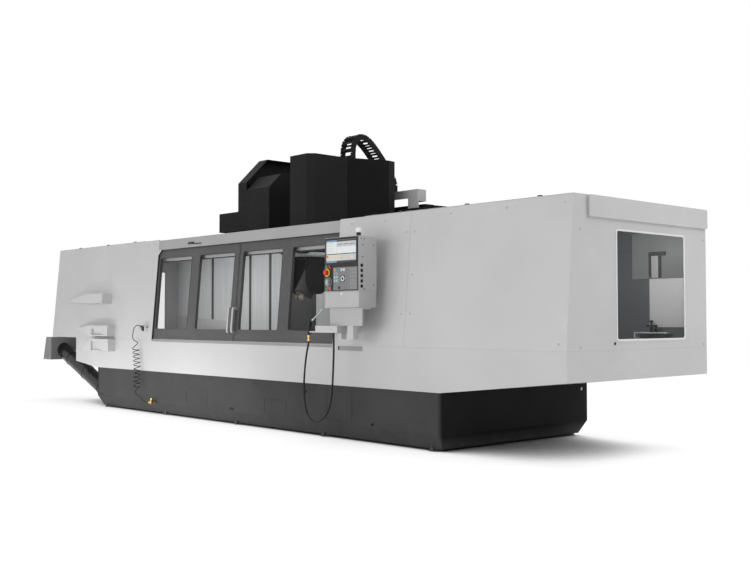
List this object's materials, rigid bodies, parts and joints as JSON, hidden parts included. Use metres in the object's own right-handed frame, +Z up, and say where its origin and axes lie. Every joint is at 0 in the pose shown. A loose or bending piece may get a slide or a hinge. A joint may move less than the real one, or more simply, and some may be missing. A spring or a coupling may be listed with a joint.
{
  "type": "cnc machining center",
  "caption": "Long-bed vertical machining center: enclosed table and saddle, sliding window doors, swivelling spindle head, tool changer, pendant and chip discharge.",
  "frame": {"origin": "underside of the centre leveling foot, on the floor under the swivel axis of the spindle head", "axes": "+X along the bed to the operator's right, +Y to the back, +Z up"},
  "size_m": [10.284, 4.119, 3.7406],
  "materials": {
    "light_paint": "satin light grey powder coat",
    "dark_paint": "satin dark grey paint",
    "black_paint": "fine textured black powder coat",
    "castings": "painted casting",
    "ground_steel": "ground or brushed steel",
    "brass": "turned brass",
    "window": "clear laminated window",
    "screen": "display",
    "keys": "membrane keypad",
    "red_plastic": "moulded",
    "green_plastic": "moulded",
    "grey_plastic": "moulded",
    "black_plastic": "moulded",
    "lens": "diffusing lens",
    "hose": "black hose"
  },
  "bodies": {
    "frame": {"base": "castings", "leveling_feet": "ground_steel", "chip_pan": "light_paint", "left_front_panel": "light_paint", "right_front_panel": "light_paint", "right_wing_panel": "light_paint", "door_header": "light_paint", "left_end_panel": "light_paint", "right_end_panel": "light_paint", "end_windows": "window", "rear_wall": "ground_steel", "roof_panels": "light_paint", "wall_fairings": "light_paint", "column": "castings", "guide_rails": "ground_steel", "drive_motors": "black_paint", "tool_changer_cover": "black_paint", "carrier_post": "light_paint", "discharge_tube": "black_paint", "discharge_head": "dark_paint", "pendant_bracket": "light_paint", "work_tray": "light_paint", "wash_gun": "black_plastic", "wash_hose": "hose", "air_gun": "black_plastic", "coil_hose": "hose", "hose_fittings": "brass", "control_cabinet": "light_paint"},
    "left_door": {"left_door_frame": "dark_paint", "left_door_glass": "window", "left_door_handle": "ground_steel"},
    "right_door": {"right_door_frame": "dark_paint", "right_door_glass": "window", "right_door_handle": "ground_steel"},
    "saddle": {"saddle": "castings", "x_rails": "ground_steel", "x_motor": "black_paint"},
    "table": {"table": "castings"},
    "x_screw": {"x_ballscrew": "ground_steel"},
    "y_screw": {"y_ballscrew": "ground_steel"},
    "z_screw": {"z_ballscrew": "ground_steel"},
    "head": {"head_casting": "castings", "head_cover": "black_paint", "cable_carrier": "black_plastic"},
    "fork": {"spindle_fork": "castings"},
    "cartridge": {"spindle_cartridge": "ground_steel", "coolant_nozzles": "brass"},
    "spindle": {"spindle_nose": "ground_steel"},
    "carousel": {"tool_carousel": "ground_steel"},
    "auger": {"chip_auger": "ground_steel"},
    "pendant": {"pendant_housing": "light_paint", "pendant_screen": "screen", "pendant_keypad": "keys", "beacon": "lens"},
    "emergency_stop": {"emergency_stop": "red_plastic"},
    "jog_wheel": {"jog_wheel": "grey_plastic"},
    "power_on": {"power_on_button": "green_plastic"},
    "power_off": {"power_off_button": "red_plastic"},
    "cycle_start": {"cycle_start_button": "green_plastic"},
    "feed_hold": {"feed_hold_button": "red_plastic"}
  },
  "joints": [
    {"name": "left_door_slide", "type": "slide", "parent": "frame", "child": "left_door", "axis": [-1, 0, 0], "range_m": [0, 1.78]},
    {"name": "right_door_slide", "type": "slide", "parent": "frame", "child": "right_door", "axis": [1, 0, 0], "range_m": [0, 1.78]},
    {"name": "y_axis", "type": "slide", "parent": "frame", "child": "saddle", "axis": [0, 1, 0], "range_m": [-0.508, 0.508]},
    {"name": "x_axis", "type": "slide", "parent": "saddle", "child": "table", "axis": [1, 0, 0], "range_m": [-1.829, 1.829]},
    {"name": "z_axis", "type": "slide", "parent": "frame", "child": "head", "axis": [0, 0, 1], "range_m": [-0.4, 0.36], "deforming": ["cable_carrier"]},
    {"name": "x_screw_turn", "type": "hinge", "parent": "saddle", "child": "x_screw", "pos_m": [0, 0, 0.845], "axis": [1, 0, 0], "continuous": true},
    {"name": "y_screw_turn", "type": "hinge", "parent": "frame", "child": "y_screw", "pos_m": [0, 0, 0.606], "axis": [0, 1, 0], "continuous": true},
    {"name": "z_screw_turn", "type": "hinge", "parent": "frame", "child": "z_screw", "pos_m": [0, 1.253, 2.2], "axis": [0, 0, 1], "continuous": true},
    {"name": "fork_swivel", "type": "hinge", "parent": "head", "child": "fork", "pos_m": [0, 0, 2.1], "axis": [0, 0, 1], "range_deg": [-200, 200]},
    {"name": "spindle_tilt", "type": "hinge", "parent": "fork", "child": "cartridge", "pos_m": [0, 0, 1.72], "axis": [1, 0, 0], "range_deg": [-70, 130]},
    {"name": "spindle_turn", "type": "hinge", "parent": "cartridge", "child": "spindle", "pos_m": [0, 0, 1.72], "axis": [0, -0.5, -0.866], "continuous": true},
    {"name": "carousel_turn", "type": "hinge", "parent": "frame", "child": "carousel", "pos_m": [-1.4, 0.665, 2.85], "axis": [1, 0, 0], "continuous": true},
    {"name": "auger_turn", "type": "hinge", "parent": "frame", "child": "auger", "pos_m": [-3.5, -0.98, 0.206], "axis": [-0.9336, 0, 0.3584], "continuous": true},
    {"name": "pendant_swivel", "type": "hinge", "parent": "frame", "child": "pendant", "pos_m": [2.438, -1.375, 1.4], "axis": [0, 0, 1], "range_deg": [-24, 24]},
    {"name": "emergency_stop_press", "type": "slide", "parent": "pendant", "child": "emergency_stop", "axis": [0, 1, 0], "range_m": [0, 0.005], "stiffness_N_per_m": 900},
    {"name": "jog_turn", "type": "hinge", "parent": "pendant", "child": "jog_wheel", "pos_m": [2.235, -1.494, 1.648], "axis": [0, -1, 0], "continuous": true},
    {"name": "power_on_press", "type": "slide", "parent": "pendant", "child": "power_on", "axis": [0, 1, 0], "range_m": [0, 0.005], "stiffness_N_per_m": 900},
    {"name": "power_off_press", "type": "slide", "parent": "pendant", "child": "power_off", "axis": [0, 1, 0], "range_m": [0, 0.005], "stiffness_N_per_m": 900},
    {"name": "cycle_start_press", "type": "slide", "parent": "pendant", "child": "cycle_start", "axis": [0, 1, 0], "range_m": [0, 0.005], "stiffness_N_per_m": 900},
    {"name": "feed_hold_press", "type": "slide", "parent": "pendant", "child": "feed_hold", "axis": [0, 1, 0], "range_m": [0, 0.005], "stiffness_N_per_m": 900}
  ],
  "couplings": [
    {"joint": "x_screw_turn", "follows": "x_axis", "rad_per_m": 314.16},
    {"joint": "y_screw_turn", "follows": "y_axis", "rad_per_m": 314.16},
    {"joint": "z_screw_turn", "follows": "z_axis", "rad_per_m": 314.16}
  ]
}
